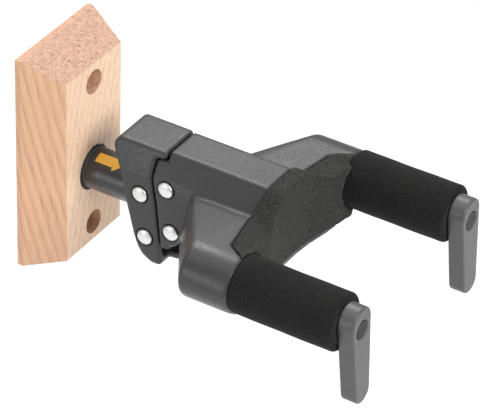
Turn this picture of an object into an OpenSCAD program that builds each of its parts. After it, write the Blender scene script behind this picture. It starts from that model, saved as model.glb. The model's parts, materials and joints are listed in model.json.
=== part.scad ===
// Wall hanger for a guitar: an oak base, an arm that pulls out and swivels, and a
// yoke on a four-bar linkage. The neck's weight lowers the yoke, and a bar that
// stays with the arm turns two cranks, which swing the gates shut.
// Frame: the wall is the plane Y = 0, the hanger points along -Y, +Z is up, and
// the origin is on the base's back face, midway between the two wall screws.
// "Reach" below means the distance from the wall, along -Y.

/* [Oak base] */
// Width of the base's back face
base_w = 48; // [44:1:60]
// Height of the back face's top edge above the middle of the screws
base_top = 47.5; // [46:0.5:60]
// Depth of the back face's bottom edge below the middle of the screws
base_bottom = 45.5; // [44:0.5:60]
// Width of the base's front face
face_w = 36.4; // [34:0.2:42]
// Height of the base's front face
face_h = 80; // [76:1:88]
// Distance between the two wall screws
screw_gap = 64; // [60:1:66]
// Diameter of the wall screw holes
screw_d = 5; // [4:0.1:6]
// Diameter of the counterbores for the wall screws' heads
counterbore_d = 10; // [8:0.5:11]

/* [Arm] */
// Height of the arm's axis above the middle of the base
arm_z = -6.5; // [-7:0.5:-6]
// Outside diameter of the arm tube
arm_d = 16.4; // [16:0.1:16.4]
// How far the arm pulls out of the base
arm_pull = 4.5; // [3:0.5:5]

/* [Rear bracket] */
// Half of the width across the side plates of the bracket and the yoke
cheek = 14; // [13.9:0.1:14.4]
// Height of the bracket's flat top
bracket_top = 19.7; // [19.5:0.1:20]

/* [Linkage] */
// Length of each link between its pivots
link_l = 13; // [12.9:0.1:13.1]
// Upward tilt of the links at rest, in degrees
link_up = 29; // [28.5:0.5:29.5]
// Diameter of the pivot pins
pin_d = 4.6; // [4.2:0.1:4.6]
// Diameter of the rivet heads
rivet_d = 6.3; // [5.8:0.1:6.6]

/* [Yoke] */
// Distance between the two prong axes
prong_gap = 80; // [79.5:0.1:80.5]
// Height of the prong axes above the middle of the base
prong_z = 1; // [0.8:0.1:1.2]
// Outside radius of the yoke's prong sockets
socket_r = 11.5; // [11.4:0.1:11.7]
// Outside diameter of a prong tube
prong_d = 16; // [15.6:0.1:16.4]

/* [Foam] */
// Outside diameter of the foam sleeves
foam_d = 22.6; // [22:0.1:22.8]
// Height by which the crotch pad stands above the yoke
pad_proud = 0.6; // [0.3:0.1:1]

/* [Gates] */
// Distance from a gate's pivot to its tip
gate_l = 35; // [30:0.5:37]
// Lean of both gates at rest, to the same side
gate_lean = 6; // [0:0.5:7]
// Diameter of a gate's head
gate_head_d = 13.2; // [12.6:0.1:13.6]
// Height of the head's middle above its pivot
gate_head_rise = 2.6; // [0:0.1:3]
// Width of a gate near its tip
gate_tip_w = 10; // [9:0.1:10.4]
// Thickness of a gate
gate_t = 6.7; // [6.4:0.1:7]
// Diameter of a gate's shaft
shaft_d = 6; // [5.6:0.1:6]

/* [Hidden] */

$fn = 64;
fit = 0.05;            // radial clearance of a running fit
over = 1;              // how far a cut runs past the face it opens
deep = -30;            // a height below the bracket and the yoke

// Base: the pull spring works in a pocket between the collar and the bush
base_t = 19;
base_edge = 2.5;       // depth of the straight edge round the base's back
counterbore_depth = 8;
plate_d = 34;
plate_back = 0.2;      // the back plate stays this far clear of the wall
plate_t = 1.8;
plate_front = plate_back + plate_t;
plate_bolt_r = 15;
plate_bolt_d = 1.8;
pocket_d = 26;
bush_d = 18.6;
bush_front = 18.6;
flange_t = 0.8;
collar_d = 24;
collar_back = 2.6;
collar_t = 2.4;
washer_t = 0.9;
washer_front = collar_back + collar_t + washer_t;
spring_room = 3.8;     // what is left for the pull spring with the arm pulled out
pocket_floor = washer_front + arm_pull + spring_room + flange_t;

// Arm
arm_bore = 12;
arm_back = 2.3;
arm_front = 46;
plug_back = 26;
bolt_d = 5;
bolt_head_d = 8.4;
bolt_head_t = 4.5;
label_back = 20.2;
label_front = 39;
label_t = 0.25;

// Rear bracket
cheek_t = 2.7;
cheek_in = cheek - cheek_t;
core_w = 16.6;         // block between the links that holds the tube
core_front = 50;
channel_back = 44.6;   // the bracket is hollow from here to past its front
channel_front = 70;
tongue_front = 57.7;   // front of the tongue on the bracket's top
tongue_under = 16.6;
gap = 0.8;             // visible gap between the bracket and the yoke

// Pivots: each is [reach, height]
link_rise = link_l * sin(link_up);
link_run = link_l * cos(link_up);
rear_upper = [49, 0.5];
rear_lower = [51.4, -18];
front_upper = rear_upper + [link_run, link_rise];
front_lower = rear_lower + [link_run, link_rise];
link_t = 2.4;
link_x = 9.7;          // middle of a link's plate
link_eye = 3.7;        // radius of a link's eyes
link_w = 5.6;
open_pivot = 0.25;     // radial clearance of the pivot that closes the four-bar loop

// Yoke
half_gap = prong_gap / 2;
socket_back = 90;
socket_front = 110.5;
socket_drop = 0.9;     // the sockets' axes are this far under the prongs' axes
core_r = 11;           // radius of the sockets under the pad
spine_top = 20;
spine_half = 8;
shoulder = [15.2, 10]; // [half width, height] of the crease at the spine's front
floor_z = -12.2;
yoke_front = 101;
cavity_step = 72;      // the spine's hollow narrows here
cavity_front = 95.5;
cover_t = 2.1;
cover_bolts = [[22, 80], [23, 97.4]];
cover_bolt_d = 2.4;

// Outline of the crotch pad from above, as [x, reach]
pad_plan = mirrored([[-8, 101.2], [-16, 98.3], [-34.5, 101.8], [-41, 110.5],
    [-33.4, 113.2], [-22, 110.7], [-12, 108.2], [-4, 107.4]]);
// Sections of the pad's raised middle at its back and front, as [x, height]
pad_back = mirrored([[-16.2, floor_z], [-16.2, 10.3], [-8, spine_top]]);
pad_front = mirrored([[-23, floor_z], [-23, 12.2], [-9.4, spine_top]]);

// Cranks: each pin travels from 45 degrees below its shaft to 45 degrees above
crank_r = 7.14;
crank_pin_d = 3;
crank_drop = crank_r * sin(45);
crank_run = crank_r * cos(45);
crank_back = 95.3;
crank_front = 98.1;
hub_front = 100;
crank_eye = 2.7;       // radius of a crank's eye round its pin
roll_pin_reach = 99.1;
roll_pin_d = 1.5;
chamber_r = 8.7;
chamber_in = 2.6;      // the chamber is this far inside the shaft's axis
chamber_back = 94.2;
chamber_front = 100.3;

// Lift bar: a foot on the bracket, a flat stem and a crossbar with two slots
bar_back = 90.9;
bar_t = 2.5;
bar_front = bar_back + bar_t;
bar_h = 4.6;
bar_z = prong_z - crank_drop;
slot_free = 0.4;
stem_half = 6.8;
stem_under = -8.8;
stem_over = -6.2;
foot_front = 52;
bay_back = 87.6;       // the yoke is open for the bar from here to the chambers
bay_front = chamber_back + 0.2;
bay_half = 38.9;
bay_roof = 8.8;
bay_end = [34.35, 4.55, 10]; // [middle, half width, roof] of the bay's tall ends

// Return spring, standing on the stem
spring_reach = 74;
spring_d = 8;
spring_wire = 1;
seat_under = 15.2;

// Prongs
prong_bore = 12;
tube_back = 102.3;
tube_front = 151.8;
sleeve_back = 110.8;
sleeve_front = 153.2;
end_washer_d = 15.8;
end_washer_front = 153.4;
gate_back = 153.5;
gate_front = gate_back + gate_t;
plug_d = 7.2;
plug_t = 1.2;

// Extrudes a child given as (reach, height) along X
module from_side(x0, x1)
    translate([x0, 0, 0]) mirror([0, 1, 0]) rotate([90, 0, 90])
        linear_extrude(x1 - x0) children();

// Extrudes a child given as (x, height) along -Y, from reach a to reach b
module from_front(a, b)
    translate([0, -a, 0]) rotate([90, 0, 0]) linear_extrude(b - a) children();

// Extrudes a child given as (x, reach) along Z
module from_above(z0, z1)
    translate([0, 0, z0]) mirror([0, 1, 0]) linear_extrude(z1 - z0) children();

// A block from reach a to reach b, with its half width and its two heights
module block(half, a, b, z0, z1)
    translate([-half, -b, z0]) cube([2 * half, b - a, z1 - z0]);

module rod(a, b, d)
    translate([0, -a, 0]) rotate([90, 0, 0]) cylinder(h = b - a, d = d);

module ring(a, b, d, bore) difference() {
    rod(a, b, d);
    rod(a - over, b + over, bore);
}

// A cylinder along X through the pivot p
module cross_rod(p, x0, x1, d)
    translate([x0, -p[0], p[1]]) rotate([0, 90, 0]) cylinder(h = x1 - x0, d = d);

module on_arm() translate([0, 0, arm_z]) children();

module on_prong(side) translate([side * half_gap, 0, prong_z]) children();

module on_socket() translate([0, 0, -socket_drop]) on_prong(1) children();

// Adds the mirror image of its child in the plane X = 0
module both() {
    children();
    mirror([1, 0, 0]) children();
}

function mirrored(points) = concat(points,
    [for (i = [len(points) - 1 : -1 : 0]) [-points[i][0], points[i][1]]]);

// A coil spring standing on Z = 0, as a swept ring of sections
module coil(turns, mean_d, wire_d, height) {
    sides = 8;
    steps = 14;
    n = round(turns * steps);
    points = [for (i = [0 : n], k = [0 : sides - 1])
        let (turn = 360 * turns * i / n,
            out = (mean_d + wire_d * cos(360 * k / sides)) / 2,
            up = wire_d / 2 * (1 + sin(360 * k / sides)))
        [out * cos(turn), out * sin(turn), up + (height - wire_d) * i / n]];
    skin = [for (i = [0 : n - 1], k = [0 : sides - 1])
        let (a = i * sides + k, b = i * sides + (k + 1) % sides)
        [a, a + sides, b + sides, b]];
    ends = [[for (k = [0 : sides - 1]) k],
        [for (k = [sides - 1 : -1 : 0]) n * sides + k]];
    polyhedron(points, concat(skin, ends), convexity = 10);
}

// Oak base --------------------------------------------------------------------

module base_outline(back_low, back_high, front_half)
    polygon([[back_low, 0], [back_high, 0], [back_high, base_edge],
        [front_half, base_t], [-front_half, base_t], [back_low, base_edge]]);

module plate_bolts(a, b, d)
    on_arm() for (turn = [90, 210, 330]) rotate([0, turn, 0])
        translate([plate_bolt_r, 0, 0]) rod(a, b, d);

module wood_base() color("burlywood") difference() {
    intersection() {
        from_above(-base_top - over, base_top + over)
            base_outline(-base_w / 2, base_w / 2, face_w / 2);
        rotate([0, -90, 0]) from_above(-base_w, base_w)
            base_outline(-base_bottom, base_top, face_h / 2);
    }
    for (side = [-1, 1]) translate([0, 0, side * screw_gap / 2]) {
        rod(-over, base_t + over, screw_d);
        rod(base_t - counterbore_depth, base_t + over, counterbore_d);
    }
    on_arm() {
        rod(-over, plate_front, plate_d);
        rod(-over, pocket_floor, pocket_d);
        rod(-over, base_t + over, bush_d);
    }
    plate_bolts(0, 9, plate_bolt_d);
}

module back_plate() color("silver") difference() {
    on_arm() ring(plate_back, plate_front, plate_d - 0.2, 6);
    plate_bolts(0, plate_front + over, plate_bolt_d);
}

module back_plate_screws() color("dimgray") {
    plate_bolts(plate_back, 8.5, plate_bolt_d);
    plate_bolts(0.02, plate_back, 3.6);
}

module socket_bush() color([0.1, 0.1, 0.1]) on_arm() difference() {
    union() {
        rod(pocket_floor - flange_t, pocket_floor, pocket_d - 0.4);
        rod(pocket_floor - flange_t, bush_front, bush_d);
    }
    rod(0, base_t + over, arm_d + 2 * fit);
}

module pull_spring() color("silver") on_arm()
    translate([0, -washer_front, 0]) rotate([90, 0, 0])
        coil(2.25, 20.4, 1.1, pocket_floor - flange_t - washer_front);

module thrust_washer() color("goldenrod") on_arm()
    ring(washer_front - washer_t, washer_front, 23, arm_d + 2 * fit);

// Arm -------------------------------------------------------------------------

collar_pin_reach = collar_back + collar_t / 2;
collar_pin_d = 1.4;

module arm_tube() color([0.25, 0.25, 0.26]) on_arm() difference() {
    ring(arm_back, arm_front, arm_d, arm_bore);
    cross_rod([collar_pin_reach, 0], -arm_d, arm_d, collar_pin_d);
}

module arm_collar() color("silver") on_arm() difference() {
    ring(collar_back, collar_back + collar_t, collar_d, arm_d);
    cross_rod([collar_pin_reach, 0], -collar_d, collar_d, collar_pin_d);
}

module arm_collar_pin() color("dimgray") on_arm()
    cross_rod([collar_pin_reach, 0], -11.4, 11.4, collar_pin_d);

module arm_plug() color("silver") on_arm()
    ring(plug_back, arm_front, arm_bore, bolt_d);

module arm_bolt() color("dimgray") on_arm() difference() {
    union() {
        rod(plug_back + 2, foot_front, bolt_d);
        rod(foot_front, foot_front + bolt_head_t, bolt_head_d);
    }
    rod(foot_front + bolt_head_t - 2.5, foot_front + bolt_head_t + over, 4.6, $fn = 6);
}

module arrow_label() color([0.08, 0.08, 0.08]) on_arm() intersection() {
    ring(label_back, label_front, arm_d + 2 * label_t, arm_d);
    translate([-arm_d, -label_front, -1]) cube([2 * arm_d, label_front, arm_d]);
}

// Rear bracket ----------------------------------------------------------------

// Front edge of the side plates, from top to bottom; d moves it along the reach
function plate_gap(d) = [[53.5 + d, tongue_under], [53.6 + d, 10.2], [55.5 + d, -1.2],
    [57.2 + d, -15.9], [58.7 + d, -27.4]];

module bracket_side() polygon(concat(
    [[36.8, bracket_top], [34.9, 17.4], [34.8, 16], [36.1, 13.5], [39.4, 8.8], [40.3, 5.6],
        [42.4, -4.6], [46.1, -19.1], [47.8, -23.6], [50.1, -26.8], [54.1, -29], [58.2, -29]],
    [for (i = [4 : -1 : 0]) plate_gap(0)[i]],
    [[tongue_front, tongue_under], [tongue_front, bracket_top]]));

module bracket_channel() {
    from_side(-cheek_in, cheek_in) polygon([[channel_back, 11.6], [channel_back, -8],
        [47.2, -15.5], [47.2, -19.6], [49.6, -23.4], [53.4, -25.3],
        [channel_front, -25.3], [channel_front, 11.6]]);
    from_front(channel_back, channel_front)
        polygon(mirrored([[-cheek_in, 11], [-7.2, 15.6]]));
}

module bracket_lip() from_side(-7.4, 7.4)
    polygon([[52, -25.4], [63.6, -25.4], [64.8, -26.2], [64.6, -27.6], [62, -28.4],
        [56, -29], [52, -29]]);

module rivet_recess(p) for (side = [-1, 1])
    cross_rod(p, side * cheek - 0.6, side * cheek + 0.6, rivet_d + 1);

module rear_bracket() color([0.28, 0.28, 0.29]) difference() {
    union() {
        difference() {
            intersection() {
                from_side(-cheek, cheek) bracket_side();
                from_front(30, channel_front) polygon(mirrored([[-cheek, deep],
                    [-cheek, 9], [-9.3, bracket_top]]));
            }
            bracket_channel();
        }
        block(core_w / 2, 44, core_front, -15.2, 5);
        bracket_lip();
    }
    on_arm() {
        rod(30, arm_front, arm_d);
        rod(30, core_front + over, bolt_d);
    }
    for (p = [rear_upper, rear_lower]) {
        cross_rod(p, -cheek - over, cheek + over, pin_d);
        rivet_recess(p);
    }
}

// A pivot pin with a domed head on each side
module rivet(p) {
    seat = cheek - 0.6;
    rim = cheek + 0.1;
    dome = [for (turn = [0 : 15 : 90])
        [rivet_d / 2 * cos(turn), rim + 0.9 * sin(turn)]];
    half = concat([[pin_d / 2, seat], [rivet_d / 2, seat]], dome);
    translate([0, -p[0], p[1]]) rotate([0, 90, 0]) rotate_extrude()
        polygon(concat(half, [for (i = [len(half) - 1 : -1 : 0]) [half[i][0], -half[i][1]]]));
}

module rear_upper_pin() color("white") rivet(rear_upper);

module rear_lower_pin() color("white") rivet(rear_lower);

// Lift bar --------------------------------------------------------------------

module slot_rods() for (side = [-1, 1]) {
    x0 = half_gap - crank_r - 0.4;
    x1 = half_gap - crank_run + 0.5;
    d = crank_pin_d + 2 * slot_free;
    translate([0, 0, bar_z]) {
        translate([side * x0, 0, 0]) rod(bar_back - over, bar_front + over, d);
        translate([side * x1, 0, 0]) rod(bar_back - over, bar_front + over, d);
        translate([side * (x0 + x1) / 2 - (x1 - x0) / 2, -bar_front - over, -d / 2])
            cube([x1 - x0, bar_t + 2 * over, d]);
    }
}

module lift_bar() color("dimgray") difference() {
    union() {
        block(8.2, core_front, foot_front, -13.4, -2.2);
        block(stem_half, core_front, bar_front, stem_under, stem_over);
        block(stem_half, bar_back, bar_front, stem_under, bar_z + bar_h / 2);
        block(38.2, bar_back, bar_front, bar_z - bar_h / 2, bar_z + bar_h / 2);
        both() translate([34.3, 0, 0])
            block(3.9, bar_back, bar_front, bar_z - 3.7, bar_z + 3.7);
    }
    on_arm() rod(core_front - over, foot_front + over, bolt_d);
    on_arm() rod(foot_front, foot_front + bolt_head_t + 1.5, bolt_head_d + 1);
    slot_rods();
}

module spring_guide() color("goldenrod") translate([0, -spring_reach, stem_over])
    cylinder(h = 6, d = 5.6);

module return_spring() color("silver") translate([0, -spring_reach, stem_over])
    coil(7, spring_d, spring_wire, seat_under - stem_over);

// Links -----------------------------------------------------------------------

module link_pair(rear, front, front_bore) both() difference() {
    union() {
        for (p = [rear, front])
            cross_rod(p, link_x - link_t / 2, link_x + link_t / 2, 2 * link_eye);
        translate([link_x - link_t / 2, -rear[0], rear[1]]) rotate([-link_up, 0, 0])
            translate([0, -link_l, -link_w / 2]) cube([link_t, link_l, link_w]);
    }
    cross_rod(rear, 0, cheek, pin_d + 2 * fit);
    cross_rod(front, 0, cheek, front_bore);
}

module upper_links() color("silver")
    link_pair(rear_upper, front_upper, pin_d + 2 * fit);

module lower_links() color("silver")
    link_pair(rear_lower, front_lower, pin_d + 2 * open_pivot);

// Yoke ------------------------------------------------------------------------

module front_upper_pin() color("white") rivet(front_upper);

module front_lower_pin() color("white") rivet(front_lower);

// Side plate that faces the bracket across the gap
module yoke_plate() polygon(concat(
    [[54.5, 14], [62.2, 14.5], [67, 14.2], [69.8, 12.8], [71.4, 10.2], [71.5, 6.2],
        [65.9, -14.2], [65.2, -17], [63.6, -18.2], [59.3, -18]],
    [for (i = [3 : -1 : 1]) plate_gap(gap)[i]]));

module spine_section(reach, half, height)
    from_front(reach, reach + 0.1) polygon(mirrored([[-half, floor_z],
        [-half, height], [-spine_half, spine_top]]));

module yoke_spine() {
    from_front(54.3, 62) polygon(mirrored([[-cheek, floor_z], [-cheek, 10.3],
        [-10.7, tongue_under - 0.5]]));
    hull() {
        spine_section(tongue_front + gap, cheek, 10.3);
        spine_section(yoke_front - 0.1, shoulder[0], shoulder[1]);
    }
}

// The bracket's side of the gap, and the space under the side plates
module bracket_space() from_side(-cheek - over, cheek + over) polygon(concat(
    [[40, deep], [40, tongue_under - 0.5], [54.3, tongue_under - 0.5]],
    [for (i = [1 : 4]) plate_gap(gap)[i]], [[60, deep]]));

// One wing, from the spine out to its prong socket
module yoke_wing() hull() {
    from_side(0, 12.9) polygon([[66.6, floor_z], [71.2, 3], [71.4, 9.5], [71.5, 9.5],
        [71.5, floor_z]]);
    translate([0, -yoke_front, floor_z])
        cube([shoulder[0], 0.1, shoulder[1] - floor_z]);
    on_socket() rod(socket_back, socket_front, 2 * socket_r);
    translate([half_gap - 7, -socket_front, floor_z])
        cube([10, socket_front - socket_back - 2, 3]);
}

// Everything that stands in front of the yoke's front wall
module pad_space() from_above(floor_z, 30) polygon(pad_plan);

module yoke_cavity() {
    from_front(core_front, cavity_step + 0.1) polygon(mirrored([[-cheek_in, deep],
        [-cheek_in, 11.2], [-7.2, tongue_under]]));
    from_front(cavity_step, cavity_front) polygon(mirrored([[-12, deep], [-12, 8.6],
        [-5.5, tongue_under]]));
    block(bay_half, bay_back, bay_front, deep, bay_roof);
    both() {
        translate([bay_end[0], 0, 0])
            block(bay_end[1], bay_back, bay_front, deep, bay_end[2]);
        translate([-chamber_in, 0, 0]) on_prong(1)
            rod(chamber_back, chamber_front, 2 * chamber_r);
    }
}

module yoke_body() color([0.3, 0.3, 0.31]) difference() {
    union() {
        difference() {
            union() {
                yoke_spine();
                both() yoke_wing();
                both() from_side(cheek_in, cheek) yoke_plate();
            }
            pad_space();
            bracket_space();
        }
        both() on_socket() rod(98, socket_front, 2 * core_r);
    }
    yoke_cavity();
    both() on_prong(1) {
        rod(tube_back, socket_front + over, prong_d);
        rod(chamber_front - over, tube_back + over, shaft_d + 2);
    }
    for (p = [front_upper, front_lower]) {
        cross_rod(p, -cheek - over, cheek + over, pin_d);
        rivet_recess(p);
    }
    both() for (p = cover_bolts) translate([p[0], -p[1], floor_z - over])
        cylinder(h = 7, d = cover_bolt_d);
}

module yoke_cover() color([0.33, 0.33, 0.34]) difference() {
    from_above(floor_z - cover_t, floor_z)
        polygon(mirrored([[-12.6, 70], [-26, 78], [-39.6, 86], [-39.6, 96],
            [-34, 101], [-27.8, 110], [-22, 109.4], [-12, 107.6], [-4, 106.9]]));
    both() for (p = cover_bolts) translate([p[0], -p[1], -20])
        cylinder(h = 10, d = cover_bolt_d);
}

module cover_screws() color("dimgray") both()
    for (p = cover_bolts) translate([p[0], -p[1], 0]) {
        translate([0, 0, floor_z - cover_t]) cylinder(h = 8, d = cover_bolt_d);
        translate([0, 0, floor_z - cover_t - 1.2]) cylinder(h = 1.2, d = 4.6);
    }

module spring_seat() color("goldenrod") translate([0, -spring_reach, 0]) {
    translate([0, 0, seat_under]) cylinder(h = tongue_under - seat_under, d = 10.6);
    translate([0, 0, seat_under - 2]) cylinder(h = 2.1, d = 5.6);
}

module crotch_pad() color([0.2, 0.2, 0.2]) difference() {
    intersection() {
        pad_space();
        translate([0, 0, pad_proud]) union() {
            from_front(90, 120) polygon(mirrored([[-45, floor_z - over],
                [-45, 11.8], [-37, 11.6], [-33, 10.6], [-16, 10.6]]));
            hull() {
                from_front(97, 97.1) polygon(pad_back);
                from_front(116, 116.1) polygon(pad_front);
            }
        }
    }
    both() {
        on_socket() rod(90, socket_front, 2 * core_r);
        on_prong(1) rod(socket_front, 120, foam_d + 0.6);
    }
}

// Prongs ----------------------------------------------------------------------

module prong_tube(side) color("silver") on_prong(side)
    ring(tube_back, tube_front, prong_d, prong_bore);

module rear_bush(side) color("ivory") on_prong(side)
    ring(tube_back + 0.1, 107.8, prong_bore, shaft_d + 2 * fit);

module front_bush(side) color("ivory") on_prong(side)
    ring(144, tube_front, prong_bore, shaft_d + 2 * fit);

module end_washer(side) color([0.06, 0.06, 0.06]) on_prong(side)
    ring(tube_front + 0.1, end_washer_front, end_washer_d, shaft_d + 0.6);

module foam_sleeve(side) color([0.14, 0.14, 0.14]) on_prong(side)
    ring(sleeve_back, sleeve_front, foam_d, prong_d);

// Gates -----------------------------------------------------------------------

module gate_shaft(side) color("silver") on_prong(side) difference() {
    rod(crank_back, gate_front - 2, shaft_d);
    rod(148, gate_front, 2.5);
    cross_rod([roll_pin_reach, 0], -10, 10, roll_pin_d);
}

module crank(side) color("goldenrod") on_prong(side) difference() {
    union() {
        rod(crank_back, crank_front, 11);
        rod(crank_front - 0.1, hub_front, 10);
        translate([-side * crank_run, 0, -crank_drop])
            rod(crank_back, crank_front, 2 * crank_eye);
        rotate([0, side > 0 ? 45 + 90 : 45, 0])
            translate([0, -crank_front, -crank_eye])
                cube([crank_r, crank_front - crank_back, 2 * crank_eye]);
    }
    rod(crank_back - over, hub_front + over, shaft_d);
    translate([-side * crank_run, 0, -crank_drop])
        rod(crank_back - over, crank_front + over, crank_pin_d);
    cross_rod([roll_pin_reach, 0], -10, 10, roll_pin_d);
}

module crank_pin(side) color("white") on_prong(side)
    translate([-side * crank_run, 0, -crank_drop]) rod(89.9, crank_front, crank_pin_d);

module roll_pin(side) color("dimgray") on_prong(side)
    cross_rod([roll_pin_reach, 0], -4.9, 4.9, roll_pin_d);

// A gate's outline as (x, height) from its pivot
module gate_outline() {
    head = gate_head_d / 2 - 0.1;
    tip = gate_tip_w / 2;
    translate([0, gate_head_rise]) circle(d = gate_head_d);
    translate([0, tip - gate_l]) circle(d = gate_tip_w);
    polygon([[-head, gate_head_rise - 1], [head, gate_head_rise - 1],
        [tip, tip - gate_l], [-tip, tip - gate_l]]);
}

module gate(side) color([0.36, 0.36, 0.37]) on_prong(side) difference() {
    rotate([0, -gate_lean, 0]) from_front(gate_back, gate_front) gate_outline();
    rod(gate_back - over, gate_front - 2, shaft_d);
    rod(gate_front - 2 - over, gate_front + over, 5.4);
    rod(gate_front - plug_t, gate_front + over, plug_d);
}

module gate_screw(side) color("dimgray") on_prong(side) {
    rod(149, gate_front - 1.9, 2.5);
    rod(gate_front - 2, gate_front - plug_t, 5.2);
}

module gate_plug(side) color([0.2, 0.2, 0.2]) on_prong(side)
    rod(gate_front - plug_t + 0.05, gate_front - 0.1, plug_d - 0.2);

wood_base();
back_plate();
back_plate_screws();
socket_bush();
pull_spring();
thrust_washer();
arm_tube();
arm_collar();
arm_collar_pin();
arm_plug();
arm_bolt();
arrow_label();
rear_bracket();
rear_upper_pin();
rear_lower_pin();
lift_bar();
spring_guide();
return_spring();
upper_links();
lower_links();
front_upper_pin();
front_lower_pin();
yoke_body();
yoke_cover();
cover_screws();
spring_seat();
crotch_pad();
prong_tube(-1);  // left_prong_tube
rear_bush(-1);  // left_rear_bush
front_bush(-1);  // left_front_bush
end_washer(-1);  // left_end_washer
foam_sleeve(-1);  // left_foam_sleeve
gate_shaft(-1);  // left_gate_shaft
crank(-1);  // left_crank
crank_pin(-1);  // left_crank_pin
roll_pin(-1);  // left_roll_pin
gate(-1);  // left_gate
gate_screw(-1);  // left_gate_screw
gate_plug(-1);  // left_gate_plug
prong_tube(1);  // right_prong_tube
rear_bush(1);  // right_rear_bush
front_bush(1);  // right_front_bush
end_washer(1);  // right_end_washer
foam_sleeve(1);  // right_foam_sleeve
gate_shaft(1);  // right_gate_shaft
crank(1);  // right_crank
crank_pin(1);  // right_crank_pin
roll_pin(1);  // right_roll_pin
gate(1);  // right_gate
gate_screw(1);  // right_gate_screw
gate_plug(1);  // right_gate_plug
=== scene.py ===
import json
import math

import bmesh
import bpy
import numpy as np
from mathutils import Matrix, Vector


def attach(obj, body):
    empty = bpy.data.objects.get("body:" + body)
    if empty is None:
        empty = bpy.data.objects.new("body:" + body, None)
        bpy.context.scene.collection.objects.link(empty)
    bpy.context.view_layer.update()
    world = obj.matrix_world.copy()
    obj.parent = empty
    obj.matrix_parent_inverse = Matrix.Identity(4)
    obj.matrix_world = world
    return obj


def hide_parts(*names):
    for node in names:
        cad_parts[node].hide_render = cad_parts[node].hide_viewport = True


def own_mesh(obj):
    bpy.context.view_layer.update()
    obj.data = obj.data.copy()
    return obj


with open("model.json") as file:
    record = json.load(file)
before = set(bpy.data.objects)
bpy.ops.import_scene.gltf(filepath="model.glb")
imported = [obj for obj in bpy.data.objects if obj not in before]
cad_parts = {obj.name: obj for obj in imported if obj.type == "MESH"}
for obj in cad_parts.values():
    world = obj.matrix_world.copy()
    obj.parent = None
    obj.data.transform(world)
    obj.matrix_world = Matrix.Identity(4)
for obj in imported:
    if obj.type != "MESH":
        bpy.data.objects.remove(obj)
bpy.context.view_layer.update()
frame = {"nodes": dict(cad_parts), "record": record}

# Wall guitar hanger: the looks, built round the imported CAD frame.
# The frame is in metres, with +Z up and -Y out from the wall.

MM = 0.001
nodes = frame["nodes"]


# Camera ----------------------------------------------------------------------

VIEW_ANGLES = (-59.105, 35.208, 1.836)
VIEW_DISTANCE, VIEW_ASIDE, VIEW_LIFT = 1.2898, 0.07152, -0.02587
SENSOR_MM, IMAGE_WIDTH, FOCAL_PIXELS = 36, 480, 3382.4


def make_camera():
    """A long lens, above and to the left of the hanger, turned a little about its own axis"""
    azimuth, elevation, roll = (math.radians(a) for a in VIEW_ANGLES)
    back = Vector((math.sin(azimuth) * math.cos(elevation),
                   -math.cos(azimuth) * math.cos(elevation), math.sin(elevation)))
    right = Vector((0, 0, 1)).cross(back).normalized()
    up = back.cross(right)
    right, up = (math.cos(roll) * right + math.sin(roll) * up,
                 math.cos(roll) * up - math.sin(roll) * right)
    data = bpy.data.cameras.new("camera")
    data.sensor_width = SENSOR_MM
    data.lens = FOCAL_PIXELS / IMAGE_WIDTH * SENSOR_MM
    data.clip_start, data.clip_end = 0.05, 20
    camera = bpy.data.objects.new("camera", data)
    place = VIEW_DISTANCE * back + VIEW_ASIDE * right + VIEW_LIFT * up
    turn = Matrix((right, up, back)).transposed().to_4x4()
    camera.matrix_world = Matrix.Translation(place) @ turn
    bpy.context.scene.collection.objects.link(camera)
    bpy.context.scene.camera = camera


make_camera()


# Stage -----------------------------------------------------------------------

FLOOR_Z, FLOOR_HALF, FLOOR_GREY, SKY_STRENGTH = -0.6, 6, 0.93, 0.6
OBJECT_MIDDLE = (0, -0.08, 0)
# Name, place, target, side of the square and watts
LIGHTS = (("ceiling", (0, 0.3, 2.5), (0, 0.3, 0), 3.2, 33),
          ("key", (-0.35, -1.3, 0.75), OBJECT_MIDDLE, 0.8, 17),
          ("side", (-1.25, 0.5, 0.1), OBJECT_MIDDLE, 0.6, 3),
          ("rim", (0.82, 0.56, 1.2), OBJECT_MIDDLE, 0.7, 10))


def area_light(name, place, target, size, watts):
    data = bpy.data.lights.new(name, "AREA")
    data.size, data.energy = size, watts
    lamp = bpy.data.objects.new(name, data)
    aim = (Vector(target) - Vector(place)).to_track_quat("-Z", "Y")
    lamp.matrix_world = Matrix.Translation(place) @ aim.to_matrix().to_4x4()
    bpy.context.scene.collection.objects.link(lamp)


def make_stage():
    world = bpy.data.worlds.new("studio")
    world.use_nodes = True
    world.node_tree.nodes["Background"].inputs["Color"].default_value = (1, 1, 1, 1)
    world.node_tree.nodes["Background"].inputs["Strength"].default_value = SKY_STRENGTH
    bpy.context.scene.world = world
    bpy.context.scene.view_settings.view_transform = "Standard"
    mesh = bpy.data.meshes.new("floor")
    corners = ((-1, -1), (1, -1), (1, 1), (-1, 1))
    mesh.from_pydata([(FLOOR_HALF * x, FLOOR_HALF * y, FLOOR_Z) for x, y in corners],
                     [], [(0, 1, 2, 3)])
    floor = bpy.data.objects.new("floor", mesh)
    bpy.context.scene.collection.objects.link(floor)
    mat = bpy.data.materials.new("floor_paint")
    mat.use_nodes = True
    bsdf = mat.node_tree.nodes["Principled BSDF"]
    bsdf.inputs["Base Color"].default_value = (FLOOR_GREY,) * 3 + (1,)
    bsdf.inputs["Roughness"].default_value = 0.9
    mesh.materials.append(mat)
    for light in LIGHTS:
        area_light(*light)


make_stage()


# Moulded forms ---------------------------------------------------------------
# Each form is a field of signed distances in millimetres over (x, reach, height),
# where reach is the distance from the wall. Rounding a field rounds its edges.

class Grid:
    """Places from low to high, a step apart, with side as the distance from the middle plane"""

    def __init__(self, low, high, step):
        self.low, self.step = np.array(low, float), step
        x, reach, z = (np.arange(a, b + step, step) for a, b in zip(low, high))
        self.x, self.reach, self.z = x[:, None, None], reach[None, :, None], z[None, None, :]
        self.side = np.abs(self.x)


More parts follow.
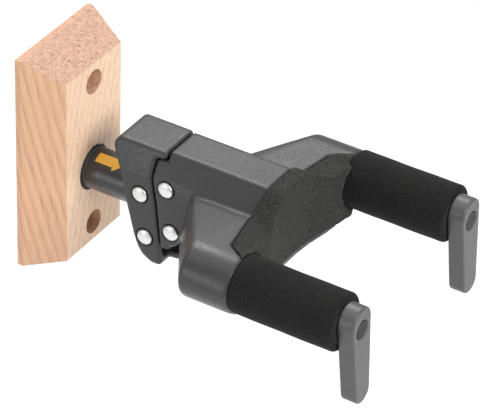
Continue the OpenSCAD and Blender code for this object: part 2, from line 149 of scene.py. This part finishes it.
def outline(points, u, v):
    """Signed distance from a closed outline, negative inside"""
    nearest, inside = np.inf, False
    for (au, av), (bu, bv) in zip(points, points[1:] + points[:1]):
        eu, ev = bu - au, bv - av
        t = np.clip(((u - au) * eu + (v - av) * ev) / (eu * eu + ev * ev), 0, 1)
        nearest = np.minimum(nearest, (u - au - t * eu) ** 2 + (v - av - t * ev) ** 2)
        if ev:
            inside = inside ^ (((av > v) != (bv > v)) & (u < eu * (v - av) / ev + au))
    return np.sqrt(nearest) * np.where(inside, -1, 1)


def slab(w, a, b):
    return np.maximum(a - w, w - b)


def disc(u, v, centre_u, centre_v, radius):
    return np.hypot(u - centre_u, v - centre_v) - radius


def both(*fields):
    """Where all the fields are solid"""
    out = fields[0]
    for f in fields[1:]:
        out = np.maximum(out, f)
    return out


def join(*fields):
    out = fields[0]
    for f in fields[1:]:
        out = np.minimum(out, f)
    return out


def cut(field, *holes):
    return both(field, *(-h for h in holes))


def soft_join(a, b, k):
    """The union with a fillet about k wide"""
    h = np.clip(0.5 + 0.5 * (b - a) / k, 0, 1)
    return b * (1 - h) + a * h - k * h * (1 - h)


def soft_both(a, b, k):
    return -soft_join(-a, -b, k)


def rounded(field, radius, step):
    """Blurs a field, which rounds its edges and leaves its flat faces where they are"""
    reach = max(1, int(np.ceil(2.2 * radius / step)))
    weights = np.exp(-0.5 * (np.arange(-reach, reach + 1) * step / radius) ** 2)
    weights /= weights.sum()
    for axis in range(3):
        wide = [(reach, reach) if a == axis else (0, 0) for a in range(3)]
        padded = np.pad(field, wide, mode="edge")
        count = field.shape[axis]
        field = sum(w * np.take(padded, range(i, i + count), axis)
                    for i, w in enumerate(weights))
    return field


def surface(name, field, grid):
    """The mesh where a field is zero, with one vertex in each cell that it crosses"""
    solid = field < 0
    cells = tuple(n - 1 for n in field.shape)
    total, count = np.zeros(cells + (3,)), np.zeros(cells)
    crossings = []
    for axis in range(3):
        lo = tuple(slice(0, -1) if a == axis else slice(None) for a in range(3))
        hi = tuple(slice(1, None) if a == axis else slice(None) for a in range(3))
        a, b = field[lo], field[hi]
        crossing = solid[lo] != solid[hi]
        crossings.append(crossing)
        t = np.where(crossing, a / np.where(a == b, 1, a - b), 0)
        others = [o for o in range(3) if o != axis]
        for first in (0, 1):
            for second in (0, 1):
                part = [slice(None)] * 3
                part[others[0]] = slice(first, first + cells[others[0]])
                part[others[1]] = slice(second, second + cells[others[1]])
                here = crossing[tuple(part)]
                count += here
                total[..., axis] += np.where(here, t[tuple(part)], 0)
                total[..., others[0]] += here * first
                total[..., others[1]] += here * second
    used = np.argwhere(count > 0)
    index = np.full(cells, -1)
    index[tuple(used.T)] = np.arange(len(used))
    points = used + total[tuple(used.T)] / count[tuple(used.T)][:, None]
    points = (grid.low + grid.step * points) * MM * (1, -1, 1)
    faces = []
    for axis in range(3):
        others = [o for o in range(3) if o != axis]
        at = np.argwhere(crossings[axis])
        inner = np.all([(at[:, o] > 0) & (at[:, o] < cells[o]) for o in others], axis=0)
        at = at[inner]
        corners = []
        for first, second in ((1, 1), (0, 1), (0, 0), (1, 0)):
            cell = at.copy()
            cell[:, others[0]] -= first
            cell[:, others[1]] -= second
            corners.append(index[tuple(cell.T)])
        quads = np.stack(corners, 1)
        flip = solid[tuple(at.T)] == (axis != 1)
        quads[flip] = quads[flip][:, ::-1]
        faces.append(quads)
    return piece(name, points.tolist(), np.concatenate(faces).tolist())


def piece(name, points, faces):
    """A new smooth-shaded object"""
    mesh = bpy.data.meshes.new(name)
    mesh.from_pydata(points, [], faces)
    mesh.polygons.foreach_set("use_smooth", [True] * len(faces))
    obj = bpy.data.objects.new(name, mesh)
    bpy.context.scene.collection.objects.link(obj)
    return obj


# Sizes repeated from the CAD source, in millimetres. An outline is in reach and height,
# unless it is mirrored: then it is in x and height, or x and reach for the pad's plan.
CHEEK, CHEEK_IN, TONGUE_FRONT, TONGUE_UNDER, GAP = 14, 11.3, 57.7, 16.6, 0.8
ARM_Z, ARM_SEAT_R, BOLT_R, PLATE_LOW = -6.5, 8.25, 2.6, -40
UNDERSIDE, SPINE_TOP, SPINE_HALF, SPINE_FRONT = -12.2, 20, 8, 101.2
CREASE, SHOULDER_HALF, SHOULDER_Z = 10.3, 15.2, 10
PRONG_X, PRONG_Z, SOCKET_R, SOCKET_DROP = 40, 1, 11.5, 0.9
SOCKET_BACK, SOCKET_FRONT, SOCKET_Z = 90, 110.5, PRONG_Z - SOCKET_DROP
SOCKET_CORE_R, TONGUE_BED, BED_BACK, BRACKET_TOP = 11, 16.1, 54.3, 19.7
CHANNEL_BACK, CHANNEL_FRONT, CHANNEL_ROOF, CHANNEL_FLOOR = 44.6, 80, 11.6, -25.3
BAY_BACK, BAY_FRONT, BAY_HALF, BAY_ROOF = 87.6, 94.4, 38.9, 8.6
BAY_END, BAY_END_ROOF = 29.8, 9.8
RIVET_R, RIVET_SEAT = 3.8, 13.1
GATE_BACK, GATE_FRONT, GATE_LEAN = 153.5, 160.2, 6
PIVOTS = {"rear_upper": (49, 0.5), "rear_lower": (51.4, -18),
          "front_upper": (60.37, 6.803), "front_lower": (62.77, -11.697)}
PLATE_GAP = [(53.5, 16.6), (53.6, 10.2), (55.5, -1.2), (57.2, -15.9), (58.7, -27.4)]
PAD_PLAN = [(8, 101.2), (16, 98.3), (34.5, 101.8), (41, 110.5), (33.4, 113.2),
            (22, 110.7), (12, 108.2), (4, 107.4)]


def mirrored(points):
    return points + [(-u, v) for u, v in reversed(points)]


def rivet_seats(g, pivots):
    """Shallow round seats for the rivets' heads, in both side plates"""
    return [both(disc(g.reach, g.z, *PIVOTS[p], RIVET_R), RIVET_SEAT - g.side)
            for p in pivots]


def make_bracket():
    g = Grid((-15.5, 33, -31), (15.5, 66.5, 21.5), 0.4)
    side = [(36.8, BRACKET_TOP), (34.9, 17.4), (34.8, 16), (36.1, 13.5), (39.4, 8.8), (40.3, 5.6),
            (42.4, -4.6), (46.1, -19.1), (47.8, -23.6), (50.1, -26.8), (54.1, -29),
            (58.2, -29)] + PLATE_GAP[::-1] + [(TONGUE_FRONT, TONGUE_UNDER),
                                              (TONGUE_FRONT, BRACKET_TOP)]
    shell = both(outline(side, g.reach, g.z),
                 outline(mirrored([(CHEEK, PLATE_LOW), (CHEEK, 9), (9.3, BRACKET_TOP)]),
                         g.x, g.z))
    shell = rounded(shell, 0.55, g.step)
    channel = both(
        outline([(CHANNEL_BACK, CHANNEL_ROOF), (CHANNEL_BACK, -8), (47.2, -15.5),
                 (47.2, -19.6), (49.6, -23.4), (53.4, CHANNEL_FLOOR),
                 (CHANNEL_FRONT, CHANNEL_FLOOR), (CHANNEL_FRONT, CHANNEL_ROOF)],
                g.reach, g.z), g.side - CHEEK_IN)
    roof = both(outline(mirrored([(CHEEK_IN, 11), (7.2, 15.6)]), g.x, g.z),
                slab(g.reach, CHANNEL_BACK, CHANNEL_FRONT))
    block = both(slab(g.reach, 44, 50), slab(g.z, -15.2, 5), g.side - 8.3)
    lip = both(outline([(52, -25.4), (63.6, -25.4), (64.8, -26.2), (64.6, -27.6),
                        (62, -28.4), (56, -29), (52, -29)], g.reach, g.z), g.side - 7.4)
    body = join(cut(shell, channel, roof), block, rounded(lip, 0.4, g.step))
    body = rounded(body, 0.3, g.step)
    bore = both(disc(g.x, g.z, 0, ARM_Z, ARM_SEAT_R), slab(g.reach, 0, 46))
    bolt = both(disc(g.x, g.z, 0, ARM_Z, BOLT_R), slab(g.reach, 40, 51))
    body = cut(body, bore, bolt, *rivet_seats(g, ("rear_upper", "rear_lower")))
    return surface("bracket_moulding", rounded(body, 0.22, g.step), g)


def wing_points():
    """The corners of one wing: its root beside the side plate, and its prong socket"""
    rim = [(66.6, UNDERSIDE), (71.2, 3), (71.4, 9.5), (101, UNDERSIDE), (101, SHOULDER_Z)]
    root = [(x, reach, z) for x in (0, 13.6) for reach, z in rim]
    turns = np.linspace(0, 2 * np.pi, 28, endpoint=False)
    socket = [(PRONG_X + SOCKET_R * np.cos(t), reach, SOCKET_Z + SOCKET_R * np.sin(t))
              for t in turns for reach in (SOCKET_BACK, SOCKET_FRONT)]
    foot = [(x, reach, z) for x in (33, 43) for reach in (92, SOCKET_FRONT)
            for z in (UNDERSIDE, UNDERSIDE + 3)]
    return root + socket + foot


def hull_field(points, x, reach, z):
    """Signed distance from the faces of the convex hull of some points"""
    form = bmesh.new()
    for point in points:
        form.verts.new(point)
    bmesh.ops.convex_hull(form, input=form.verts)
    centre = Vector(np.mean(points, axis=0))
    field = -np.inf
    for face in form.faces:
        n = face.normal
        depth = n.dot(face.verts[0].co)
        if n.dot(centre) > depth:
            n, depth = -n, -depth
        field = np.maximum(field, n.x * x + n.y * reach + n.z * z - depth)
    form.free()
    return field


def make_yoke():
    """The yoke: a faceted spine that widens forwards, side plates, wings and sockets"""
    g = Grid((-53, 53, -20), (53, 112, 21.5), 0.5)
    along = np.clip((g.reach - 58.5) / 42.5, 0, 1)
    half = CHEEK + (SHOULDER_HALF - CHEEK) * along
    crease = CREASE + (SHOULDER_Z - CREASE) * along
    drop, run = SPINE_TOP - crease, half - SPINE_HALF
    facet = ((g.side - SPINE_HALF) * drop + (g.z - SPINE_TOP) * run) / np.hypot(drop, run)
    under_tongue = both(slab(g.reach, BED_BACK, 62), g.z - TONGUE_BED, facet,
                        g.side - CHEEK)
    wall = g.side - half + 0.9 * np.clip((crease - 1 - g.z) / 2.5, 0, 1)
    spine = both(facet, g.z - SPINE_TOP, wall,
                 slab(g.reach, TONGUE_FRONT + GAP, SPINE_FRONT), UNDERSIDE - g.z)
    plate = both(outline([(54.5, CREASE), (62.2, 10.6), (67, 10.6), (69.8, 10.6), (71.5, 9),
                          (71.5, 6.2), (65.9, -14.2), (65.2, -17), (63.6, -18.2),
                          (59.3, -18)] + [(u + GAP, z) for u, z in PLATE_GAP[3:0:-1]],
                         g.reach, g.z), g.side - CHEEK)
    wing = hull_field(wing_points(), g.side, g.reach, g.z)
    barrel = both(disc(g.side, g.z, PRONG_X, SOCKET_Z, SOCKET_R),
                  slab(g.reach, SOCKET_BACK, SOCKET_FRONT))
    body = rounded(join(wing, barrel), 0.8, g.step)
    body = soft_join(body, rounded(spine, 0.45, g.step), 1)
    pad_room = outline(mirrored(PAD_PLAN[:4] + [(41, 130)]), g.x, g.reach)
    behind = outline([(40, PLATE_LOW), (40, TONGUE_BED), (BED_BACK, TONGUE_BED)]
                     + [(u + GAP, z) for u, z in PLATE_GAP[1:]] + [(60, PLATE_LOW)],
                     g.reach, g.z)
    body = join(body, rounded(under_tongue, 0.4, g.step), rounded(plate, 0.4, g.step))
    body = cut(body, pad_room, behind)
    core = both(disc(g.side, g.z, PRONG_X, SOCKET_Z, SOCKET_CORE_R),
                slab(g.reach, 98, SOCKET_FRONT))
    body = cut(join(body, core), *rivet_seats(g, ("front_upper", "front_lower")))
    body = rounded(body, 0.25, g.step)
    # The rooms inside are cut after the last rounding, which would eat thin walls
    rear_room = both(outline(mirrored([(CHEEK_IN, -30), (CHEEK_IN, 11.2), (7.2, 16.6)]),
                             g.x, g.z), slab(g.reach, 50, 72.1))
    room = both(outline(mirrored([(12, -30), (12, 8.6), (5.5, 16.6)]), g.x, g.z),
                slab(g.reach, 71, 95.5))
    bay = both(slab(g.reach, BAY_BACK, BAY_FRONT), g.side - BAY_HALF, g.z - BAY_ROOF)
    ends = both(slab(g.reach, BAY_BACK, BAY_FRONT), slab(g.side, BAY_END, BAY_HALF),
                g.z - BAY_END_ROOF)
    chamber = both(disc(g.side, g.z, PRONG_X - 2.6, PRONG_Z, 8.7),
                   slab(g.reach, 94.2, 100.3))
    socket = both(disc(g.side, g.z, PRONG_X, PRONG_Z, 8), 102.3 - g.reach)
    passage = both(disc(g.side, g.z, PRONG_X, PRONG_Z, 4), 99 - g.reach)
    body = cut(body, rear_room, room, bay, ends, chamber, socket, passage)
    return surface("yoke_moulding", body, g)


def make_pad():
    """The foam pad: it fills the crotch, wraps over the spine's end and is a little uneven"""
    g = Grid((-43, 95.5, -14), (43, 116, 22.5), 0.5)
    plan = outline(mirrored(PAD_PLAN), g.x, g.reach)
    plan = rounded(plan, 0.6, g.step)
    # The roof falls from the spine's width to low shoulders, more slowly at the front
    top, top_half = 20.6, 8.6
    ahead = np.clip((g.reach - 98) / 13, 0, 1)
    foot, foot_z = 16.4 + 4.6 * ahead, 10.7 + 1.9 * ahead
    drop, run = top - foot_z, foot - top_half
    slope = ((g.side - top_half) * drop + (g.z - top) * run) / np.hypot(drop, run)
    middle = both(slope, g.z - top)
    low = g.z - np.interp(g.side, (0, 16, 33, 37, 45), (11.2, 11.2, 11.1, 12, 12.2))
    roof = soft_join(middle, low, 1.2)
    body = soft_both(plan, both(roof, UNDERSIDE - g.z), 0.7)
    body = cut(body, both(disc(g.side, g.z, PRONG_X, SOCKET_Z, 11.15), g.reach - 110.6),
               both(disc(g.side, g.z, PRONG_X, PRONG_Z, 11.45), 110.4 - g.reach))
    ripple = np.sin(g.x * 0.83 + 1.1) * np.sin(g.reach * 0.71) * np.sin(g.z * 0.62 + 0.4)
    body = rounded(body, 0.35, g.step) + 0.13 * ripple
    return surface("crotch_foam", body, g)


def make_gate(name, side):
    """A gate: a round head above its pivot, a taper and a round tip, with soft edges"""
    g = Grid((-8, 152.5, -37), (8, 161.5, 11), 0.35)
    head_r, head_z, tip_r, tip_z, taper_x, taper_z = 6.6, 2.6, 5, -30, 6.5, 1.6
    body = join(disc(g.x, g.z, 0, head_z, head_r), disc(g.x, g.z, 0, tip_z, tip_r),
                outline([(taper_x, taper_z), (tip_r, tip_z), (-tip_r, tip_z),
                         (-taper_x, taper_z)], g.x, g.z))
    body = soft_both(body, slab(g.reach, GATE_BACK, GATE_FRONT), 0.6)
    body = rounded(body, 0.25, g.step)
    recess = both(disc(g.x, g.z, 0, 0, 3.7), 158.9 - g.reach)
    shaft = both(disc(g.x, g.z, 0, 0, 3), g.reach - 158.2)
    made = surface(name, rounded(cut(body, recess, shaft), 0.15, g.step), g)
    made.data.transform(Matrix.Translation((side * PRONG_X * MM, 0, PRONG_Z * MM))
                        @ Matrix.Rotation(math.radians(-GATE_LEAN), 4, "Y"))
    return made


# Materials -------------------------------------------------------------------

class Paint:
    """A material built from a chain of procedural nodes in object coordinates, in metres"""

    def __init__(self, name, **sockets):
        self.mat = bpy.data.materials.new(name)
        self.mat.use_nodes = True
        self.tree = self.mat.node_tree
        self.bsdf = self.tree.nodes["Principled BSDF"]
        coordinates = self.tree.nodes.new("ShaderNodeTexCoord")
        self.place, self.facing = (coordinates.outputs[k] for k in ("Object", "Normal"))
        for socket, value in sockets.items():
            self.bsdf.inputs[socket.replace("_", " ")].default_value = value

    def add(self, kind, inputs=(), **settings):
        node = self.tree.nodes.new("ShaderNode" + kind)
        for key, value in settings.items():
            setattr(node, key, value)
        for key, value in dict(inputs).items():
            if isinstance(value, bpy.types.NodeSocket):
                self.tree.links.new(value, node.inputs[key])
            else:
                node.inputs[key].default_value = value
        return node

    def scaled(self, scale):
        return self.add("Mapping", {"Vector": self.place, "Scale": scale}).outputs["Vector"]

    def noise(self, scale, detail=3.0, rough=0.55, vector=None):
        return self.add("TexNoise", {"Vector": vector or self.place, "Scale": scale,
                                     "Detail": detail, "Roughness": rough}).outputs["Fac"]

    def cells(self, scale, vector=None):
        return self.add("TexVoronoi", {"Vector": vector or self.place,
                                       "Scale": scale}).outputs["Distance"]

    def ramp(self, fac, *stops):
        """A colour ramp through stops of (position, grey or colour)"""
        node = self.add("ValToRGB", {"Fac": fac})
        ramp = node.color_ramp
        while len(ramp.elements) < len(stops):
            ramp.elements.new(0.5)
        for element, (at, colour) in zip(ramp.elements, stops):
            element.position = at
            grey = isinstance(colour, (int, float))
            element.color = (colour,) * 3 + (1,) if grey else tuple(colour) + (1,)
        return node.outputs["Color"]

    def math(self, operation, a, b=0.0, clamp=False):
        return self.add("Math", {0: a, 1: b}, operation=operation,
                        use_clamp=clamp).outputs["Value"]

    def mix(self, fac, a, b):
        """Mixes two colours; a Mix node's colours are its sockets 6, 7 and output 2"""
        a, b = (c if isinstance(c, bpy.types.NodeSocket) else tuple(c) + (1,) for c in (a, b))
        return self.add("Mix", {0: fac, 6: a, 7: b}, data_type="RGBA").outputs[2]

    def bump(self, height, distance, strength):
        return self.add("Bump", {"Height": height, "Distance": distance,
                                 "Strength": strength}).outputs["Normal"]

    def set(self, **links):
        for socket, value in links.items():
            self.tree.links.new(value, self.bsdf.inputs[socket.replace("_", " ")])
        return self.mat


RING_LEAN, RINGS_PER_METRE = 0.17, 400


def oak():
    """Oak whose rings lean across the sides, with open pores that run along the rings"""
    p = Paint("oak")
    x, y, z = (p.add("SeparateXYZ", {"Vector": p.place}).outputs[k] for k in "XYZ")
    facing = p.add("SeparateXYZ", {"Vector": p.facing}).outputs
    side = p.ramp(p.math("ABSOLUTE", facing["X"]), (0.3, 0.0), (0.7, 1.0))
    rim = p.ramp(facing["Z"], (0.96, 0.0), (0.99, 1.0))
    lean = p.math("SUBTRACT", y, p.math("MULTIPLY", z, RING_LEAN))
    warp = p.noise(28, 2, vector=p.scaled((1, 1, 0.3)))
    ring = p.math("ADD", p.math("MULTIPLY", x, 0.62), p.math("MULTIPLY", lean, 0.9))
    ring = p.math("ADD", ring, p.math("MULTIPLY", warp, 0.004))
    band = p.math("FRACT", p.math("MULTIPLY", ring, RINGS_PER_METRE))
    late = p.ramp(band, (0.0, 0.15), (0.35, 0.0), (0.78, 0.75), (0.93, 1.0), (1.0, 0.15))
    along = p.add("CombineXYZ", {"X": x, "Y": lean, "Z": p.math("MULTIPLY", z, 0.02)})
    along = along.outputs["Vector"]
    fibre = p.noise(1700, 3, 0.6, along)
    vessel = p.cells(1150, along)
    dot = p.ramp(vessel, (0.20, 1.0), (0.42, 0.0))
    sparse = p.ramp(p.noise(420, 2, 0.5, along), (0.42, 0.0), (0.55, 1.0))
    pore = p.math("MULTIPLY", dot, p.math("ADD", p.math("MULTIPLY", late, 0.6),
                                          p.math("MULTIPLY", sparse, 0.5)), clamp=True)
    broad = p.noise(20, 2, vector=p.scaled((1, 1, 0.4)))
    face = p.mix(broad, (0.78, 0.54, 0.37), (0.90, 0.66, 0.48))
    flank = p.mix(broad, (0.60, 0.35, 0.21), (0.70, 0.43, 0.27))
    base = p.mix(side, face, flank)
    # Upward faces are end grain, with its darker tone, dark mottle and deeper pores. Their darker
    # tone is also painted shade, which tones down the strong ceiling light on the top.
    end_grain_and_shade = p.ramp(facing["Z"], (0.3, 0.0), (0.6, 1.0))
    base = p.mix(p.math("MULTIPLY", end_grain_and_shade, 0.85), base, (0.50, 0.315, 0.235))
    mottle = p.ramp(p.noise(750, 3, 0.75), (0.42, 0.0), (0.68, 0.8))
    base = p.mix(p.math("MULTIPLY", end_grain_and_shade, mottle), base, (0.30, 0.165, 0.11))
    base = p.mix(p.math("MULTIPLY", rim, 0.7), base, (0.62, 0.34, 0.21))
    tint = p.math("ADD", p.math("MULTIPLY", side, 0.42), 0.2)
    base = p.mix(p.math("MULTIPLY", late, tint), base, (0.50, 0.24, 0.14))
    base = p.mix(p.ramp(fibre, (0.35, 0.3), (0.62, 0.0)), base, (0.52, 0.30, 0.18))
    depth = p.math("ADD", p.math("MULTIPLY", end_grain_and_shade, 0.65), 0.35)
    base = p.mix(p.math("MULTIPLY", pore, depth), base, (0.20, 0.10, 0.06))
    relief = p.math("SUBTRACT", p.math("MULTIPLY", fibre, 0.6), pore)
    rough = p.ramp(fibre, (0.2, 0.66), (0.8, 0.5))
    return p.set(Base_Color=base, Roughness=rough, Normal=p.bump(relief, 0.00016, 0.6))


def moulded(name, dark, light, rough=0.46, grain=0.00006, spark=2100, gloss=0.42):
    """Moulded plastic with a fine spark-eroded texture and faint flow marks"""
    p = Paint(name, Specular_IOR_Level=gloss)
    fine = p.noise(spark, 2, 0.6)
    flow = p.noise(45, 3, 0.5)
    speck = p.ramp(fine, (0.38, 0.0), (0.66, 1.0))
    base = p.mix(p.math("ADD", p.math("MULTIPLY", flow, 0.45),
                        p.math("MULTIPLY", speck, 0.55)), dark, light)
    patch = p.ramp(flow, (0.3, rough + 0.07), (0.7, rough - 0.05))
    glint = p.math("SUBTRACT", patch, p.math("MULTIPLY", speck, 0.16))
    return p.set(Base_Color=base, Roughness=glint, Normal=p.bump(fine, grain, 0.8))


def foam(name, dark, light, cell, depth):
    """Closed foam: a matt skin of fine cells with lighter flecks"""
    p = Paint(name, Specular_IOR_Level=0.15, Sheen_Weight=0.03)
    cells = p.cells(cell)
    fleck = p.noise(cell * 1.7, 3, 0.7)
    broad = p.noise(60, 2)
    base = p.mix(p.ramp(fleck, (0.42, 0.0), (0.70, 1.0)), dark, light)
    base = p.mix(p.math("MULTIPLY", broad, 0.3), base, light)
    pits = p.math("ADD", cells, p.math("MULTIPLY", fleck, 0.7))
    rough = p.ramp(fleck, (0.3, 0.95), (0.8, 0.82))
    return p.set(Base_Color=base, Roughness=rough, Normal=p.bump(pits, depth, 0.7))


def metal(name, colour, rough, axis=None, scratch=0.5):
    """Plated or turned metal: fine marks along one axis, cloudy roughness"""
    p = Paint(name, Metallic=1.0)
    stretch = [4000, 4000, 4000]
    if axis is not None:
        stretch[axis] = 160
    marks = p.noise(1, 3, 0.6, p.scaled(stretch))
    cloud = p.noise(260, 3)
    tint = p.mix(p.math("MULTIPLY", cloud, 0.5), colour, [c * 0.78 for c in colour])
    level = p.math("ADD", p.math("MULTIPLY", marks, 0.16 * scratch + 0.05),
                   p.math("MULTIPLY", cloud, 0.12))
    return p.set(Base_Color=tint, Roughness=p.math("ADD", level, rough),
                 Normal=p.bump(marks, 0.00001 * (1 + scratch), 0.5))


def coated(name, dark, light, rough):
    """Black or grey powder coat over steel, with a little orange peel"""
    p = Paint(name, Coat_Weight=0.25, Coat_Roughness=0.25)
    peel = p.noise(900, 2)
    dust = p.noise(3800, 2)
    base = p.mix(peel, dark, light)
    level = p.ramp(dust, (0.3, rough), (0.8, rough + 0.12))
    return p.set(Base_Color=base, Roughness=level, Normal=p.bump(peel, 0.00003, 0.5))


def film(name, dark, light):
    """Printed plastic film with fine speckle"""
    p = Paint(name, Coat_Weight=0.3, Coat_Roughness=0.15)
    speck, wear = p.noise(5000, 2), p.noise(400, 3)
    base = p.mix(p.ramp(speck, (0.4, 0.0), (0.75, 0.5)), dark, light)
    level = p.ramp(wear, (0.3, 0.32), (0.75, 0.46))
    return p.set(Base_Color=base, Roughness=level, Normal=p.bump(speck, 0.00001, 0.3))


MATERIALS = {
    "oak": oak(),
    "zinc_steel": metal("zinc_steel", (0.62, 0.63, 0.65), 0.24, 1),
    "dark_steel": coated("dark_steel", (0.05, 0.05, 0.052), (0.075, 0.076, 0.08), 0.30),
    "rivet_steel": metal("rivet_steel", (0.74, 0.74, 0.73), 0.22),
    "charcoal_plastic": moulded("charcoal_plastic", (0.022, 0.022, 0.023),
                                (0.050, 0.049, 0.050), 0.40, spark=1500),
    "black_plastic": moulded("black_plastic", (0.012, 0.012, 0.013), (0.022, 0.022, 0.023),
                             0.5, gloss=0.2),
    "bronze": metal("bronze", (0.58, 0.42, 0.22), 0.34),
    "label_film": film("label_film", (0.012, 0.012, 0.012), (0.03, 0.03, 0.03)),
    "label_ink": film("label_ink", (0.78, 0.40, 0.03), (0.9, 0.52, 0.06)),
    "nylon": moulded("nylon", (0.62, 0.60, 0.54), (0.72, 0.70, 0.64), 0.4, 0.00002, 2500),
    "pad_foam": foam("pad_foam", (0.006, 0.006, 0.006), (0.066, 0.065, 0.061), 1100,
                     0.00034),
    "sleeve_foam": foam("sleeve_foam", (0.003, 0.003, 0.003), (0.021, 0.021, 0.020), 1600,
                        0.00012),
    "gate_plastic": moulded("gate_plastic", (0.056, 0.056, 0.057), (0.086, 0.086, 0.087),
                            0.38),
}


def finish_with(obj, slot_name, paint=None):
    obj.data.materials.clear()
    obj.data.materials.append(MATERIALS[paint or slot_name])


for row in frame["record"]["subparts"]:
    for slot in nodes[row["node"]].material_slots:
        slot.material = MATERIALS[row["material_slot"]]


# Pieces ----------------------------------------------------------------------

WELD_GAP, BEVEL_SEGMENTS, BEVEL_ANGLE = 1e-6, 3, math.radians(35)
SOFT_EDGES = {"wood_base": 0.0008, "yoke_cover": 0.0004, "lift_bar": 0.0003,
              "left_end_washer": 0.0003, "right_end_washer": 0.0003}


def softened(node, width):
    """Rounds the sharp edges of a CAD node, whose mesh is split there until welded"""
    obj = nodes[node]
    obj.modifiers.new("joined", "WELD").merge_threshold = WELD_GAP
    bevel = obj.modifiers.new("edges", "BEVEL")
    bevel.width, bevel.segments = width, BEVEL_SEGMENTS
    bevel.limit_method, bevel.angle_limit = "ANGLE", BEVEL_ANGLE


LATHE_TURNS, FOAM_WAVE, BORE_LIMIT = 72, 0.05, 9


def lathe(name, profile, side):
    """Turns a profile of (reach, radius) about a prong's axis"""
    angles = np.linspace(0, 2 * np.pi, LATHE_TURNS, endpoint=False)
    points, faces, count = [], [], len(profile)
    for a in angles:
        for reach, radius in profile:
            # Foam is never quite round, but its bore is
            r = radius + FOAM_WAVE * math.sin(3 * a + reach * 0.11) * (radius > BORE_LIMIT)
            points.append(((side * PRONG_X + r * math.cos(a)) * MM, -reach * MM,
                           (PRONG_Z + r * math.sin(a)) * MM))
    for i in range(LATHE_TURNS):
        j = (i + 1) % LATHE_TURNS
        for k in range(count):
            m = (k + 1) % count
            faces.append((i * count + k, i * count + m, j * count + m, j * count + k))
    return piece(name, points, faces)


STEPS_PER_TURN, WIRE_SIDES = 28, 12


def coil_spring(name, turns, mean_d, wire_d, height, foot, direction):
    """A closed-end compression spring that stands on its foot"""
    base, direction = Vector(foot), Vector(direction)
    side = direction.orthogonal().normalized()
    other = direction.cross(side)
    steps, sides = int(turns * STEPS_PER_TURN), WIRE_SIDES
    points, faces = [], []
    for i in range(steps + 1):
        share = i / steps
        # The last half turn at each end lies flat
        flat = 0.5 / turns
        rise = np.clip((share - flat) / (1 - 2 * flat), 0, 1)
        a = 2 * np.pi * turns * share
        out = side * math.cos(a) + other * math.sin(a)
        middle = wire_d / 2 + (height - wire_d) * rise
        for k in range(sides):
            t = 2 * np.pi * k / sides
            points.append((base + (out * (mean_d + wire_d * math.cos(t)) / 2
                                   + direction * (middle + wire_d * math.sin(t) / 2)) * MM))
    for i in range(steps):
        for k in range(sides):
            a, b = i * sides + k, i * sides + (k + 1) % sides
            faces.append((a, b, b + sides, a + sides))
    faces += [tuple(range(sides))[::-1], tuple(steps * sides + k for k in range(sides))]
    return piece(name, points, faces)


def sleeve_profile():
    """A foam tube with rolled ends and a faint swell along its length"""
    back, front, outer, bore, back_roll, front_roll = 110.85, 153.15, 11.3, 8.02, 0.5, 1.5
    steps = [math.radians(a) for a in range(0, 91, 15)]
    rise = [(back + back_roll * (1 - math.sin(a)), outer - back_roll * (1 - math.cos(a)))
            for a in reversed(steps)]
    body = [(back + 4 + i * 4.2, outer + FOAM_WAVE * math.sin(i * 1.3)) for i in range(9)]
    fall = [(front - front_roll * (1 - math.sin(a)), outer - front_roll * (1 - math.cos(a)))
            for a in steps]
    return [(back, bore)] + rise + body + fall + [(front, bore)]


def arrow_decal():
    """A plain arrow along the tube, pointing away from the wall, wrapped on the label"""
    radius, centre = 8.47, math.radians(111)
    back, head, tip, half_shaft, half_head = 22.8, 30.4, 35.2, 2.2, 4.0
    rows, columns = 28, 9
    points, faces = [], []
    for i in range(rows + 1):
        reach = back + (tip - back) * i / rows
        half = half_shaft if reach < head else half_head * (tip - reach) / (tip - head)
        for k in range(columns):
            a = centre + (2 * k / (columns - 1) - 1) * half / radius
            points.append((radius * math.cos(a) * MM, -reach * MM,
                           (ARM_Z + radius * math.sin(a)) * MM))
    for i in range(rows):
        for k in range(columns - 1):
            a = i * columns + k
            faces.append((a, a + 1, a + 1 + columns, a + columns))
    return piece("label_arrow", points, faces)


def settle(obj, body, slot_name, stands_for):
    """Gives a piece its finish and its body, in place of a CAD node"""
    finish_with(obj, slot_name)
    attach(obj, body)
    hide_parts(stands_for)


for node, width in SOFT_EDGES.items():
    softened(node, width)

settle(make_bracket(), "arm", "charcoal_plastic", "rear_bracket")
settle(make_yoke(), "yoke", "charcoal_plastic", "yoke_body")
settle(make_pad(), "yoke", "pad_foam", "crotch_pad")
for side, hand in ((-1, "left"), (1, "right")):
    gate = make_gate(hand + "_gate_moulding", side)
    settle(gate, hand + "_gate_arm", "gate_plastic", hand + "_gate")
    sleeve = lathe(hand + "_sleeve", sleeve_profile(), side)
    settle(sleeve, "yoke", "sleeve_foam", hand + "_foam_sleeve")

# The return spring stands on the lift bar's stem, the pull spring against the bush
# The yoke moves a little forward as it drops; the return spring here stands upright at one height
spring = coil_spring("return_coil", turns=6.8, mean_d=8, wire_d=1, height=21.15,
                     foot=(0, -0.074, -0.0061), direction=(0, 0, 1))
settle(spring, "arm", "zinc_steel", "return_spring")
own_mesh(spring)

spring = coil_spring("pull_coil", turns=2.25, mean_d=20.4, wire_d=1.1, height=8.3,
                     foot=(0, -0.0142, -0.0065), direction=(0, 1, 0))
settle(spring, "base", "zinc_steel", "pull_spring")
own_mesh(spring)

arrow = arrow_decal()
finish_with(arrow, "label_film", "label_ink")
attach(arrow, "arm")
